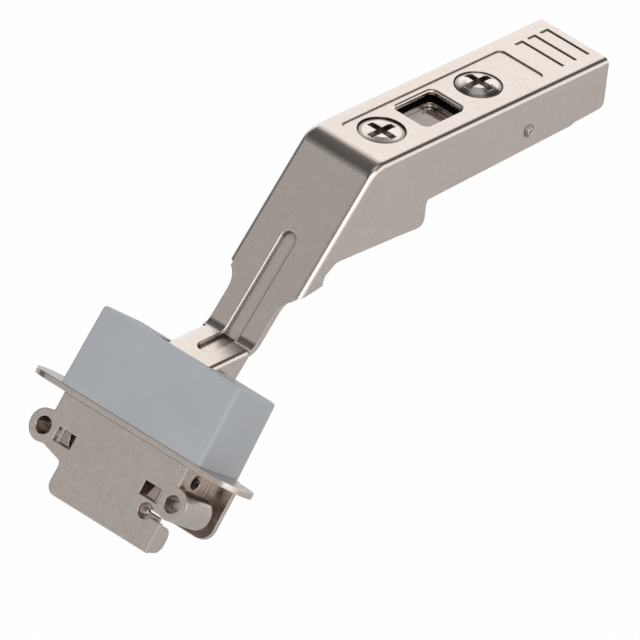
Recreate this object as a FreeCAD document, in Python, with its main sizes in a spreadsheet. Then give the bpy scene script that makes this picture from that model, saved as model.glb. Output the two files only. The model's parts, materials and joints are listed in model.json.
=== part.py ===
import FreeCAD, Part
import math
import os
import Sketcher

# Concealed cup hinge with a cranked arm, for a narrow door frame. Millimetres.
# X runs along the pivot pins, Y along the arm away from the cup, Z up through the arm's top.
# The origin is on the seat of the mounting plate, under the web of the carrier.

SIZES = {
    # sheet arm, measured from the upper bend
    "arm_width": 19.0,
    "arm_sheet": 1.3,
    "arm_reach": 65.8,
    "arm_edge": 1.3,
    "crank_angle": 51.6,
    "crank_length": 42.1,
    "crank_flange": 29.7,
    "bend_round": 5.4,
    "foot_round": 2.6,
    "side_height": 10.9,
    "tail_length": 8.2,
    "tail_step": 1.0,
    "tail_drop": 0.5,
    "tail_round": 1.4,
    "belly_height": 13.4,
    "belly_start": 16.0,
    "belly_slope": 1.6,
    "keel_height": 19.3,
    "keel_round": 1.6,
    "keel_start": 8.6,
    "keel_end": 9.0,
    "keel_slope": 0.4,
    "keel_rise": 1.1,
    "hook_out": 12.0,
    "hook_drop": 22.3,
    "hook_throat": 20.2,
    "neck_width": 12.4,
    "neck_flare": 3.4,
    "neck_step": 2.2,
    "foot_length": 16.4,
    "foot_flange": 6.5,
    "foot_edge": 1.1,
    "flange_from": 0.6,
    "flange_full": 5.3,
    "flange_nose": 2.4,
    # pressed details of the arm
    "panel_half": 6.1,
    "panel_start": 5.5,
    "panel_inset": 14.6,
    "panel_round": 1.4,
    "press_depth": 0.3,
    "window_start": 19.1,
    "window_end": 30.0,
    "window_half": 4.4,
    "window_round": 1.2,
    "window_rim": 0.6,
    "grip_inset": 9.5,
    "grip_step": 3.6,
    "grip_width": 0.7,
    "grip_half": 5.7,
    "grip_hook": 1.6,
    "bead_width": 3.4,
    "bead_depth": 0.9,
    "bead_rim": 0.4,
    "bead_start": 19.0,
    "bead_end": 8.2,
    "bead_lead": 0.8,
    # adjusting screws
    "side_screw_at": 11.2,
    "depth_screw_at": 38.5,
    "screw_hole": 4.9,
    "screw_head": 4.55,
    "screw_collar": 5.4,
    "collar_thick": 0.8,
    "head_drop": 0.35,
    "dome_rise": 0.9,
    "slot_width": 1.5,
    "slot_length": 6.6,
    "slot_depth": 1.5,
    "side_shank": 2.1,
    "side_shank_length": 7.0,
    "thread_gap": 0.35,
    "nut_collar": 3.5,
    "nut_length": 2.4,
    "cam_shank": 3.3,
    "cam_pin": 1.2,
    "cam_throw": 2.0,
    # guide channel and carrier inside the arm
    "tilt_gap": 1.8,
    "guide_gap": 0.2,
    "guide_sheet": 1.0,
    "guide_start": 6.0,
    "guide_end": 52.0,
    "guide_height": 10.4,
    "guide_low": 6.6,
    "guide_round": 1.5,
    "lobe_before": 5.5,
    "lobe_after": 4.5,
    "lobe_slope": 3.5,
    "carrier_gap": 0.15,
    "carrier_sheet": 1.2,
    "carrier_start": 17.0,
    "carrier_inset": 5.8,
    "carrier_height": 12.6,
    "carrier_bevel": 2.0,
    "seat_centre": 40.0,
    "rivet_at": 44.1,
    "rivet_drop": 8.2,
    "rivet_shank": 1.1,
    "rivet_head": 1.4,
    "rivet_rise": 0.45,
    "pin_radius": 1.2,
    "pin_fit": 0.05,
    "pin_chamfer": 0.2,
    "hook_pin_at": 21.0,
    "hook_pin_drop": 10.2,
    "lever_pin_inset": 9.3,
    "lever_pin_drop": 9.9,
    "lever_sheet": 1.0,
    "lever_gap": 0.1,
    "lever_reach": 10.6,
    "lever_front": 3.0,
    "lever_top": 2.3,
    "lever_shelf": 2.2,
    "lever_nose": 5.2,
    "lever_nose_half": 1.6,
    "lever_back": 4.8,
    "lever_rise": 3.9,
    "lever_lip": 1.25,
    "spring_wire": 0.35,
    "spring_turns": 5.0,
    # cup, measured in its own frame: X along the pins, Y into the frame, Z towards the cover
    "cup_tilt": 33.655,
    "foot_in": 16.72,
    "foot_up": 23.04,
    "block_width": 37.4,
    "block_depth": 14.8,
    "block_height": 17.2,
    "block_fall": 0.75,
    "block_draft": 1.0,
    "block_edge": 0.8,
    "block_wall": 1.4,
    "notch_half": 7.6,
    "notch_start": 3.6,
    "flange_length": 55.2,
    "flange_depth": 12.0,
    "flange_sheet": 1.2,
    "plate_sheet": 1.0,
    "plate_half": 16.6,
    "plate_drop": 5.0,
    "boss_half": 17.35,
    "boss_drop": 8.9,
    "boss_radius": 3.4,
    "boss_hole": 1.83,
    "boss_length": 9.2,
    "tongue_left": 9.9,
    "tongue_right": 17.0,
    "tongue_drop": 19.6,
    "tongue_top": 13.3,
    "slit_height": 1.3,
    "slit_end": 12.6,
    "slit_radius": 1.7,
    "view_inner": 9.4,
    "view_outer": 14.1,
    "view_top": 7.5,
    "view_bottom": 10.4,
    "ear_radius": 3.6,
    "wall_half": 13.9,
    "wall_drop": 12.0,
    "wall_hole": 1.45,
    "back_half": 19.6,
    "back_drop": 13.6,
    "back_round": 3.0,
    "shell_half": 8.2,
    "shell_sheet": 1.2,
    "shell_drop": 11.6,
    # links, pins and springs
    "arm_pin_outer_at": 13.75,
    "arm_pin_outer_depth": 3.65,
    "arm_pin_inner_at": 10.06,
    "arm_pin_inner_depth": 4.66,
    "cup_pin_outer_in": 9.2,
    "cup_pin_outer_drop": 4.1,
    "cup_pin_inner_in": 5.85,
    "cup_pin_inner_drop": 2.23,
    "inner_pin_radius": 0.9,
    "link_half": 1.8,
    "link_eye": 2.1,
    "link_sheet": 1.0,
    "link_gap": 0.2,
    "open_pivot_gap": 0.47,
    "closing_wire": 0.38,
    "closing_turns": 1.6,
}

doc = FreeCAD.newDocument("cup_hinge")
sheet = doc.addObject("Spreadsheet::Sheet", "Sizes")
for row, (alias, value) in enumerate(SIZES.items(), start=1):
    sheet.set("A%d" % row, alias)
    sheet.set("B%d" % row, str(value))
    sheet.setAlias("B%d" % row, alias)
doc.recompute()


class Size:
    """A length with its value and the sheet expression that it comes from."""

    def __init__(self, value, text):
        self.value = value
        self.text = text

    @staticmethod
    def of(other):
        return other if isinstance(other, Size) else Size(float(other), "%r" % float(other))

    def joined(self, other, sign, value):
        return Size(value, "(%s %s %s)" % (self.text, sign, Size.of(other).text))

    def __add__(self, other):
        return self.joined(other, "+", self.value + Size.of(other).value)

    def __sub__(self, other):
        return self.joined(other, "-", self.value - Size.of(other).value)

    def __mul__(self, other):
        return self.joined(other, "*", self.value * Size.of(other).value)

    def __truediv__(self, other):
        return self.joined(other, "/", self.value / Size.of(other).value)

    def __radd__(self, other):
        return Size.of(other) + self

    def __rsub__(self, other):
        return Size.of(other) - self

    def __rmul__(self, other):
        return Size.of(other) * self

    def __neg__(self):
        return Size(-self.value, "(0 - %s)" % self.text)


def sine(angle):
    return Size(math.sin(math.radians(angle.value)), "sin(%s * 1deg)" % angle.text)


def cosine(angle):
    return Size(math.cos(math.radians(angle.value)), "cos(%s * 1deg)" % angle.text)


def tangent(angle):
    return Size(math.tan(math.radians(angle.value)), "tan(%s * 1deg)" % angle.text)


def size(alias):
    return Size(float(sheet.get(alias)), "Sizes.%s" % alias)


class Named:
    """Gives each cell of the sheet as a Size."""

    def __getattr__(self, alias):
        return size(alias)


S = Named()
ZERO = Size.of(0)
ONE = Size.of(1)


def bind(thing, prop, value):
    value = Size.of(value)
    thing.setExpression(prop, value.text)


# Points of the crank, in the arm's own frame

HALF_TURN = tangent(S.crank_angle / 2)
FOOT_Y = -S.crank_length * cosine(S.crank_angle)
FOOT_Z = -S.crank_length * sine(S.crank_angle)
LEVER_PIN_AT = S.arm_reach - S.lever_pin_inset


def crank_point(along, behind):
    """A point of the middle section: its way down from the bend, and behind its face."""
    y = -along * cosine(S.crank_angle) + behind * sine(S.crank_angle)
    z = -along * sine(S.crank_angle) - behind * cosine(S.crank_angle)
    return y, z


def foot_point(along, below):
    """A point of the short section: its way from the lower bend, and below its face."""
    return FOOT_Y - along, FOOT_Z - below


# Frames of the pieces

BEND_Y = -S.seat_centre
BEND_Z = S.arm_sheet + S.tilt_gap + S.guide_sheet + S.lever_gap + S.carrier_sheet


def place(thing, y, z, angle=None):
    thing.Placement = FreeCAD.Placement(
        FreeCAD.Vector(0, Size.of(y).value, Size.of(z).value),
        FreeCAD.Rotation(FreeCAD.Vector(1, 0, 0), angle.value if angle else 0))
    bind(thing, "Placement.Base.y", y)
    bind(thing, "Placement.Base.z", z)
    if angle:
        bind(thing, "Placement.Rotation.Angle", angle)


def arm_frame(thing):
    """Origin on the upper bend line, Y along the top, Z up."""
    place(thing, BEND_Y, BEND_Z)


def cup_frame(thing):
    """Origin at the foot of the cover's front face, Y into the frame, Z towards the cover."""
    lean = S.cup_tilt
    y = BEND_Y + FOOT_Y - S.foot_in * cosine(lean) - S.foot_up * sine(lean)
    z = BEND_Z + FOOT_Z + S.foot_in * sine(lean) - S.foot_up * cosine(lean)
    place(thing, y, z, -lean)


# Sketches and features

def new_body(name, frame):
    body = doc.addObject("PartDesign::Body", name)
    body.Label = name
    frame(body)
    return body


def plane_of(body, role):
    return next(f for f in body.Origin.OriginFeatures if f.Role == role)


def new_sketch(body, role, offset=None):
    sketch = body.newObject("Sketcher::SketchObject", body.Name + "_outline")
    sketch.AttachmentSupport = (plane_of(body, role), "")
    sketch.MapMode = "FlatFace"
    if offset is not None:
        sketch.AttachmentOffset = FreeCAD.Placement(
            FreeCAD.Vector(0, 0, Size.of(offset).value), FreeCAD.Rotation())
        bind(sketch, "AttachmentOffset.Base.z", offset)
    return sketch


def fix_point(sketch, geo, pos, x, y):
    for kind, value in (("DistanceX", Size.of(x)), ("DistanceY", Size.of(y))):
        index = sketch.addConstraint(Sketcher.Constraint(kind, -1, 1, geo, pos, value.value))
        sketch.setExpression("Constraints[%d]" % index, value.text)


def fix_radius(sketch, geo, radius):
    index = sketch.addConstraint(Sketcher.Constraint("Radius", geo, Size.of(radius).value))
    sketch.setExpression("Constraints[%d]" % index, Size.of(radius).text)


def circle(sketch, x, y, radius):
    centre = FreeCAD.Vector(Size.of(x).value, Size.of(y).value, 0)
    geo = sketch.addGeometry(
        Part.Circle(centre, FreeCAD.Vector(0, 0, 1), Size.of(radius).value), False)
    fix_point(sketch, geo, 3, x, y)
    fix_radius(sketch, geo, radius)


def corner_arc(before, corner, after, radius):
    """The arc that rounds a corner, with its ends on the two sides."""
    to_before = (before - corner).normalize()
    to_after = (after - corner).normalize()
    half = to_before.getAngle(to_after) / 2
    run = radius / math.tan(half)
    first = corner + to_before * run
    last = corner + to_after * run
    bisector = (to_before + to_after).normalize()
    centre = corner + bisector * (radius / math.sin(half))
    middle = centre - bisector * radius
    return first, middle, last


def outline(sketch, points):
    """A closed outline. Each point is (x, y) or (x, y, radius of its corner)."""
    corners = [FreeCAD.Vector(Size.of(p[0]).value, Size.of(p[1]).value, 0) for p in points]
    count = len(points)
    starts, ends, arcs = list(corners), list(corners), {}
    for i, point in enumerate(points):
        if len(point) == 3:
            first, middle, last = corner_arc(
                corners[i - 1], corners[i], corners[(i + 1) % count], Size.of(point[2]).value)
            ends[i], starts[i] = first, last
            arcs[i] = Part.Arc(first, middle, last)
    lines = []
    for i in range(count):
        lines.append(sketch.addGeometry(
            Part.LineSegment(starts[i], ends[(i + 1) % count]), False))
    for i, point in enumerate(points):
        before, after = lines[i - 1], lines[i]
        if i not in arcs:
            sketch.addConstraint(Sketcher.Constraint("Coincident", before, 2, after, 1))
            fix_point(sketch, after, 1, point[0], point[1])
            continue
        mark = sketch.addGeometry(Part.Point(corners[i]), True)
        fix_point(sketch, mark, 1, point[0], point[1])
        sketch.addConstraint(Sketcher.Constraint("PointOnObject", mark, 1, before))
        sketch.addConstraint(Sketcher.Constraint("PointOnObject", mark, 1, after))
        arc = sketch.addGeometry(arcs[i], False)
        turn = (corners[i] - corners[i - 1]).cross(corners[(i + 1) % count] - corners[i]).z
        enter, leave = (1, 2) if turn > 0 else (2, 1)
        sketch.addConstraint(Sketcher.Constraint("Tangent", before, 2, arc, enter))
        sketch.addConstraint(Sketcher.Constraint("Tangent", after, 1, arc, leave))
        fix_radius(sketch, arc, point[2])


def box_points(x0, y0, x1, y1, radius=None):
    corners = [(x0, y0), (x1, y0), (x1, y1), (x0, y1)]
    return [c + (radius,) for c in corners] if radius is not None else corners


def feature(body, kind, sketch, length=None, both_sides=False, reverse=False):
    made = body.newObject("PartDesign::" + kind, body.Name + "_" + kind.lower())
    made.Profile = sketch
    if length is None:
        made.Type = "ThroughAll"
    else:
        made.Length = Size.of(length).value
        bind(made, "Length", length)
    made.Midplane = both_sides
    made.Reversed = reverse
    sketch.Visibility = False
    return made


def pad(body, role, points, length, offset=None, both_sides=False, reverse=False):
    sketch = new_sketch(body, role, offset)
    outline(sketch, points)
    return feature(body, "Pad", sketch, length, both_sides, reverse)


def pad_disc(body, role, x, y, radius, length, offset=None, both_sides=False, reverse=False):
    sketch = new_sketch(body, role, offset)
    circle(sketch, x, y, radius)
    return feature(body, "Pad", sketch, length, both_sides, reverse)


def volume_of(body):
    doc.recompute()
    return body.Shape.Volume


def cut(body, role, points, length=None, offset=None, both_sides=False, reverse=False):
    before = volume_of(body)
    sketch = new_sketch(body, role, offset)
    outline(sketch, points)
    made = feature(body, "Pocket", sketch, length, both_sides, reverse)
    check_cut(body, before, made)
    return made


def cut_disc(body, role, spots, radius, length=None, offset=None, both_sides=False, reverse=False):
    before = volume_of(body)
    sketch = new_sketch(body, role, offset)
    for x, y in spots:
        circle(sketch, x, y, radius)
    made = feature(body, "Pocket", sketch, length, both_sides, reverse)
    check_cut(body, before, made)
    return made


def check_cut(body, before, made):
    if volume_of(body) > before - 1e-4:
        raise RuntimeError(made.Name + " cut nothing")


def revolve(body, role, points):
    """Turned form about the sketch's vertical axis."""
    sketch = new_sketch(body, role)
    outline(sketch, points)
    made = body.newObject("PartDesign::Revolution", body.Name + "_turned")
    made.Profile = sketch
    made.ReferenceAxis = (sketch, ["V_Axis"])
    made.Angle = 360.0
    sketch.Visibility = False
    return made


def cut_from_tilted(body, points, length, tilt, lift):
    """Cuts an outline drawn on the top turned about X by the tilt and lifted off by the lift."""
    before = volume_of(body)
    sketch = new_sketch(body, "XY_Plane")
    y, z = -lift * sine(tilt), lift * cosine(tilt)
    sketch.AttachmentOffset = FreeCAD.Placement(
        FreeCAD.Vector(0, y.value, z.value),
        FreeCAD.Rotation(FreeCAD.Vector(1, 0, 0), tilt.value))
    bind(sketch, "AttachmentOffset.Base.y", y)
    bind(sketch, "AttachmentOffset.Base.z", z)
    bind(sketch, "AttachmentOffset.Rotation.Angle", tilt)
    outline(sketch, points)
    made = feature(body, "Pocket", sketch, length + lift)
    check_cut(body, before, made)


def round_edges(body, radius, wanted):
    """Fillets the edges of the body's last feature that the test picks."""
    doc.recompute()
    base = body.Tip
    names = []
    for number, edge in enumerate(base.Shape.Edges, start=1):
        if wanted(edge):
            names.append("Edge%d" % number)
    if not names:
        raise RuntimeError("no edge to round on " + body.Name)
    made = body.newObject("PartDesign::Fillet", body.Name + "_round")
    made.Base = (base, names)
    made.Radius = Size.of(radius).value
    bind(made, "Radius", radius)
    doc.recompute()
    return made


def ends_at(edge, axis, value, slack=0.02):
    return all(abs(getattr(v.Point, axis) - value) < slack for v in edge.Vertexes)


def straight_along(edge, axis):
    if len(edge.Vertexes) != 2:
        return False
    run = edge.Vertexes[1].Point - edge.Vertexes[0].Point
    return abs(abs(getattr(run, axis)) - edge.Length) < 1e-4


# Arm

def make_arm():
    body = new_body("hinge_arm", arm_frame)
    sheet_in = S.arm_sheet
    half_in = S.arm_width / 2 - sheet_in
    heel = crank_point(S.crank_flange, ZERO)
    tail = S.arm_reach - S.tail_length
    belly_end = S.side_height + S.tail_drop
    small = S.keel_round / 2
    side = [
        (S.arm_reach, ZERO),
        (ZERO, ZERO, S.bend_round),
        heel,
        (-S.hook_out, -S.hook_drop),
        (-(S.hook_out - S.keel_slope), -S.hook_throat, small),
        (-S.keel_start, -(S.keel_height - S.keel_rise), S.keel_round),
        (S.keel_end, -(S.keel_height - S.keel_slope), S.keel_round),
        (S.belly_start, -S.keel_height, S.keel_round),
        (S.belly_start, -S.belly_height, small),
        (tail - S.tail_step, -(belly_end + S.keel_slope), S.tail_drop),
        (tail, -belly_end, S.tail_drop),
        (S.arm_reach, -S.side_height, S.tail_round),
    ]
    pad(body, "YZ_Plane", side, S.arm_width, both_sides=True)
    outer = S.arm_width.value / 2

    def long_edge(edge):
        if not ends_at(edge, "x", outer) and not ends_at(edge, "x", -outer):
            return False
        middle = edge.valueAt((edge.FirstParameter + edge.LastParameter) / 2)
        on_top = abs(middle.z) < 0.01 and middle.y > 0
        slope = math.radians(S.crank_angle.value)
        behind = middle.y * math.sin(slope) - middle.z * math.cos(slope)
        on_crank = abs(behind) < 0.01 and middle.z < -0.5
        near_bend = math.hypot(middle.y, middle.z) < S.bend_round.value
        in_bend = edge.Curve.TypeId == "Part::GeomCircle" and near_bend
        return on_top or on_crank or in_bend

    round_edges(body, S.arm_edge, long_edge)
    inner_round = S.bend_round - sheet_in
    deep = S.arm_reach
    well = [
        (S.arm_reach + S.arm_sheet, -sheet_in),
        (sheet_in * HALF_TURN, -sheet_in, inner_round),
        crank_point(S.crank_length, sheet_in),
        (FOOT_Y, -deep),
        (S.arm_reach + S.arm_sheet, -deep),
    ]
    cut(body, "YZ_Plane", well, half_in * 2, both_sides=True)

    # neck and short section
    start = crank_point(S.crank_flange - 3.0, ZERO)
    start_in = crank_point(S.crank_flange - 3.0, sheet_in)
    end = foot_point(S.foot_length, ZERO)
    end_in = foot_point(S.foot_length, sheet_in)
    strip = [
        start,
        (FOOT_Y, FOOT_Z, S.foot_round),
        end,
        end_in,
        (FOOT_Y + sheet_in * HALF_TURN, FOOT_Z - sheet_in, S.foot_round + sheet_in),
        start_in,
    ]
    pad(body, "YZ_Plane", strip, S.arm_width - 2 * S.arm_edge, both_sides=True)
    half_neck = S.neck_width / 2
    flare_z = crank_point(S.crank_flange + S.neck_step * 0.4, ZERO)[1]
    neck_z = crank_point(S.crank_flange + S.neck_step, ZERO)[1]
    wide = S.arm_width
    low = FOOT_Z - S.foot_flange
    for side_sign in (1, -1):
        waste = [
            (side_sign * wide, flare_z),
            (side_sign * (half_neck + S.neck_step * 0.9), flare_z, S.neck_step / 2),
            (side_sign * half_neck, neck_z, S.neck_flare),
            (side_sign * half_neck, low),
            (side_sign * wide, low),
        ]
        cut(body, "XZ_Plane", waste, None, both_sides=True)

    # side flanges of the short section, which hold the link pins
    flange = [
        foot_point(S.flange_from, ZERO),
        foot_point(S.foot_length, ZERO),
        foot_point(S.foot_length, S.foot_flange) + (S.flange_nose,),
        foot_point(S.flange_full, S.foot_flange) + (S.flange_nose / 2,),
        foot_point(S.flange_from, S.flange_from),
    ]
    pad(body, "YZ_Plane", flange, S.neck_width, both_sides=True)
    trough = [
        foot_point(Size.of(-1.0), sheet_in),
        foot_point(S.foot_length + 1.0, sheet_in),
        foot_point(S.foot_length + 1.0, S.foot_flange * 2),
        foot_point(Size.of(-1.0), S.foot_flange * 2),
    ]
    cut(body, "YZ_Plane", trough, S.neck_width - 2 * sheet_in, both_sides=True)
    # the folds of these flanges
    fold_start = foot_point(S.foot_round * HALF_TURN, ZERO)[0]
    past = S.flange_from
    for side_sign in (1, -1):
        fold = [
            (side_sign * (half_neck + past), FOOT_Z + past),
            (side_sign * (half_neck + past), FOOT_Z - S.foot_edge - past),
            (side_sign * half_neck, FOOT_Z - S.foot_edge - past),
            (side_sign * half_neck, FOOT_Z, S.foot_edge),
            (side_sign * (half_neck - S.foot_edge - past), FOOT_Z),
            (side_sign * (half_neck - S.foot_edge - past), FOOT_Z + past),
        ]
        cut(body, "XZ_Plane", fold, S.foot_length, offset=-fold_start, reverse=True)

    # stiffening bead, sunk in the face and standing out behind
    depth = S.bead_depth
    lead = S.bead_lead
    ridge = [
        crank_point(S.bead_start - lead, sheet_in * 0.5),
        crank_point(S.bead_start + lead, sheet_in + depth),
        (FOOT_Y + (sheet_in + depth) * HALF_TURN, FOOT_Z - sheet_in - depth, S.foot_round),
        foot_point(S.bead_end - lead, sheet_in + depth),
        foot_point(S.bead_end + lead, sheet_in * 0.5),
        (FOOT_Y + sheet_in * 0.5 * HALF_TURN, FOOT_Z - sheet_in * 0.5, S.foot_round),
    ]
    pad(body, "YZ_Plane", ridge, S.bead_width + sheet_in, both_sides=True)
    half_bead = S.bead_width / 2
    end_round = half_bead * 0.96
    mitre = depth * HALF_TURN
    on_crank = [
        (-half_bead, -(S.crank_length + mitre)),
        (half_bead, -(S.crank_length + mitre)),
        (half_bead, -S.bead_start, end_round),
        (-half_bead, -S.bead_start, end_round),
    ]
    cut_from_tilted(body, on_crank, depth, S.crank_angle, S.foot_round)
    on_foot = [
        (-half_bead, FOOT_Y - S.bead_end, end_round),
        (half_bead, FOOT_Y - S.bead_end, end_round),
        (half_bead, FOOT_Y + mitre),
        (-half_bead, FOOT_Y + mitre),
    ]
    cut(body, "XY_Plane", on_foot, depth + S.foot_round, offset=FOOT_Z + S.foot_round)

    def bead_rim(edge):
        ends = [vertex.Point for vertex in edge.Vertexes]
        ends.append(edge.valueAt((edge.FirstParameter + edge.LastParameter) / 2))
        slope = math.radians(S.crank_angle.value)
        behind = [p.y * math.sin(slope) - p.z * math.cos(slope) for p in ends]
        inside = all(abs(p.x) < half_bead.value + 0.01 for p in ends)
        low = all(p.z < crank_point(S.bead_start, ZERO)[1].value + 0.01 for p in ends)
        near = all(p.y > (FOOT_Y - S.bead_end).value - 0.01 for p in ends)
        face = all(abs(b) < 0.01 for b in behind)
        foot = all(abs(p.z - FOOT_Z.value) < 0.01 for p in ends)
        knee = (edge.Curve.TypeId == "Part::GeomCircle"
                and abs(edge.Curve.Radius - S.foot_round.value) < 0.01)
        return inside and low and near and (face or foot or knee)

    round_edges(body, S.bead_rim, bead_rim)

    # sunk panel, window, screw holes and grip lines of the top
    deep_in = S.press_depth
    cut(body, "XY_Plane", box_points(-S.panel_half, S.panel_start, S.panel_half,
                                     S.arm_reach - S.panel_inset, S.panel_round), deep_in)
    cut(body, "XY_Plane", box_points(-S.window_half, S.window_start, S.window_half,
                                     S.window_end, S.window_round), S.arm_sheet * 2)
    window_middle = FreeCAD.Vector(0, (S.window_start + S.window_end).value / 2, 0)
    window_reach = (S.window_end - S.window_start).value / 2 + S.window_half.value

    def window_top(edge):
        near = edge.CenterOfMass.distanceToPoint(window_middle) < window_reach
        return near and ends_at(edge, "z", -deep_in.value) and edge.Length < window_reach * 2

    def inside_window(edge):
        at = edge.CenterOfMass
        across = abs(at.x) < S.window_half.value + 0.1
        along = S.window_start.value - 0.1 < at.y < S.window_end.value + 0.1
        return across and along and window_top(edge)

    round_edges(body, S.window_rim, inside_window)
    cut_disc(body, "XY_Plane", [(ZERO, S.side_screw_at), (ZERO, S.depth_screw_at)],
             S.screw_hole, S.arm_sheet * 2)
    for number in range(3):
        near = S.arm_reach - S.grip_inset + number * S.grip_step
        left = -S.grip_half
        angle_line = [
            (left, near - S.grip_hook),
            (left + S.grip_width, near - S.grip_hook),
            (left + S.grip_width, near),
            (S.grip_half, near),
            (S.grip_half, near + S.grip_width),
            (left, near + S.grip_width),
        ]
        cut(body, "XY_Plane", angle_line, deep_in)

    # rivet holes of the side walls and pin holes of the flanges
    cut_disc(body, "YZ_Plane", [(S.rivet_at, -S.rivet_drop)], S.rivet_shank + S.pin_fit,
             S.arm_width, both_sides=True)
    cut_disc(body, "YZ_Plane", [
        foot_point(S.arm_pin_outer_at, S.arm_pin_outer_depth),
        foot_point(S.arm_pin_inner_at, S.arm_pin_inner_depth)],
        S.pin_radius, S.neck_width, both_sides=True)
    return body


# Adjusting screws, guide, carrier and clip

def make_screw_top(body, tall):
    """Head, collar under the arm's sheet, and the cross recess. Turned about its own axis."""
    head_top = -S.head_drop + (S.dome_rise if tall else ZERO)
    collar_top = -S.arm_sheet - S.lever_gap
    collar_bottom = collar_top - S.collar_thick
    edge_z = head_top - (S.dome_rise if tall else 0.3 * ONE)
    points = [
        (ZERO, head_top),
        (S.screw_head * 0.55, head_top),
        (S.screw_head, edge_z),
        (S.screw_head, collar_top),
        (S.screw_collar, collar_top),
        (S.screw_collar, collar_bottom),
        (ZERO, collar_bottom),
    ]
    revolve(body, "XZ_Plane", points)
    reach, wide = S.slot_length / 2, S.slot_width / 2
    cross = [
        (reach, -wide), (reach, wide), (wide, wide), (wide, reach), (-wide, reach),
        (-wide, wide), (-reach, wide), (-reach, -wide), (-wide, -wide), (-wide, -reach),
        (wide, -reach), (wide, -wide),
    ]
    cut(body, "XY_Plane", cross, S.slot_depth, offset=head_top)
    return collar_bottom


def screw_frame(spot):
    def frame(thing):
        place(thing, BEND_Y + spot, BEND_Z)
    return frame


def make_side_screw():
    body = new_body("side_adjusting_screw", screw_frame(S.side_screw_at))
    under = make_screw_top(body, tall=False)
    pad_disc(body, "XY_Plane", ZERO, ZERO, S.side_shank, S.side_shank_length,
             offset=under, reverse=True)
    return body


def make_depth_screw():
    body = new_body("depth_adjusting_screw", screw_frame(S.depth_screw_at))
    under = make_screw_top(body, tall=True)
    guide_bottom = -S.arm_sheet - S.tilt_gap - S.guide_sheet
    shank = under - (guide_bottom + 0.1)
    pad_disc(body, "XY_Plane", ZERO, ZERO, S.cam_shank, shank, offset=under, reverse=True)
    pad_disc(body, "XY_Plane", S.cam_throw, ZERO, S.cam_pin, S.carrier_sheet + 0.1,
             offset=under - shank, reverse=True)
    return body


def make_guide():
    body = new_body("guide_channel", arm_frame)
    top = -S.arm_sheet - S.tilt_gap
    half = S.arm_width / 2 - S.arm_sheet - S.guide_gap
    low = -S.guide_low
    side = [
        (S.guide_start, top),
        (S.guide_start, low, S.guide_round),
        (S.rivet_at - S.lobe_before - S.lobe_slope, low, S.guide_round),
        (S.rivet_at - S.lobe_before, -S.guide_height, S.guide_round),
        (S.rivet_at + S.lobe_after, -S.guide_height, S.guide_round),
        (S.guide_end, low, S.guide_round),
        (S.guide_end, top),
    ]
    pad(body, "YZ_Plane", side, half * 2, both_sides=True)
    outer = half.value
    round_edges(body, S.guide_sheet, lambda e: straight_along(e, "y")
                and (ends_at(e, "x", outer) or ends_at(e, "x", -outer))
                and ends_at(e, "z", top.value))
    inner = [
        (S.guide_start - 1.0, top - S.guide_sheet),
        (S.guide_end + 1.0, top - S.guide_sheet),
        (S.guide_end + 1.0, -S.arm_reach),
        (S.guide_start - 1.0, -S.arm_reach),
    ]
    cut(body, "YZ_Plane", inner, half * 2 - S.guide_sheet * 2, both_sides=True)
    thread = S.side_shank + S.thread_gap
    pad_disc(body, "XY_Plane", ZERO, S.side_screw_at, S.nut_collar, S.nut_length,
             offset=top - S.guide_sheet * 0.5, reverse=True)
    cut_disc(body, "XY_Plane", [(ZERO, S.side_screw_at)], thread, S.arm_reach, reverse=False)
    cut_disc(body, "XY_Plane", [(ZERO, S.depth_screw_at)], S.cam_shank + S.guide_gap, S.arm_reach)
    cut(body, "XY_Plane", box_points(-S.window_half, S.window_start, S.window_half,
                                     S.window_end, S.window_round), S.arm_reach)
    cut_disc(body, "YZ_Plane", [(S.rivet_at, -S.rivet_drop)], S.rivet_shank, S.arm_width,
             both_sides=True)
    return body


def guide_inner_half():
    return S.arm_width / 2 - S.arm_sheet - S.guide_gap - S.guide_sheet


def carrier_half():
    return guide_inner_half() - S.carrier_gap


def carrier_top():
    return -S.arm_sheet - S.tilt_gap - S.guide_sheet - S.lever_gap


def make_rivets():
    """Two rivets on which the arm tilts, one in each side wall."""
    outer = S.arm_width / 2
    inner = guide_inner_half()
    points = [
        (ZERO, inner),
        (S.rivet_shank, inner),
        (S.rivet_shank, outer + S.pin_fit),
        (S.rivet_head, outer + S.pin_fit),
        (S.rivet_head * 0.6, outer + S.rivet_rise),
        (ZERO, outer + S.rivet_rise),
    ]
    one = doc.addObject("PartDesign::Body", "rivet_turned")
    one.Label = "rivet_turned"
    revolve(one, "XZ_Plane", points)
    doc.recompute()
    shapes = []
    for turn in (90, -90):
        shape = one.Shape.copy()
        shape.rotate(FreeCAD.Vector(0, 0, 0), FreeCAD.Vector(0, 1, 0), turn)
        shape.translate(FreeCAD.Vector(0, S.rivet_at.value, -S.rivet_drop.value))
        shapes.append(shape)
    pair = doc.addObject("Part::Feature", "pivot_rivets")
    pair.Label = "pivot_rivets"
    pair.Shape = Part.makeCompound(shapes)
    arm_frame(pair)
    return pair


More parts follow.
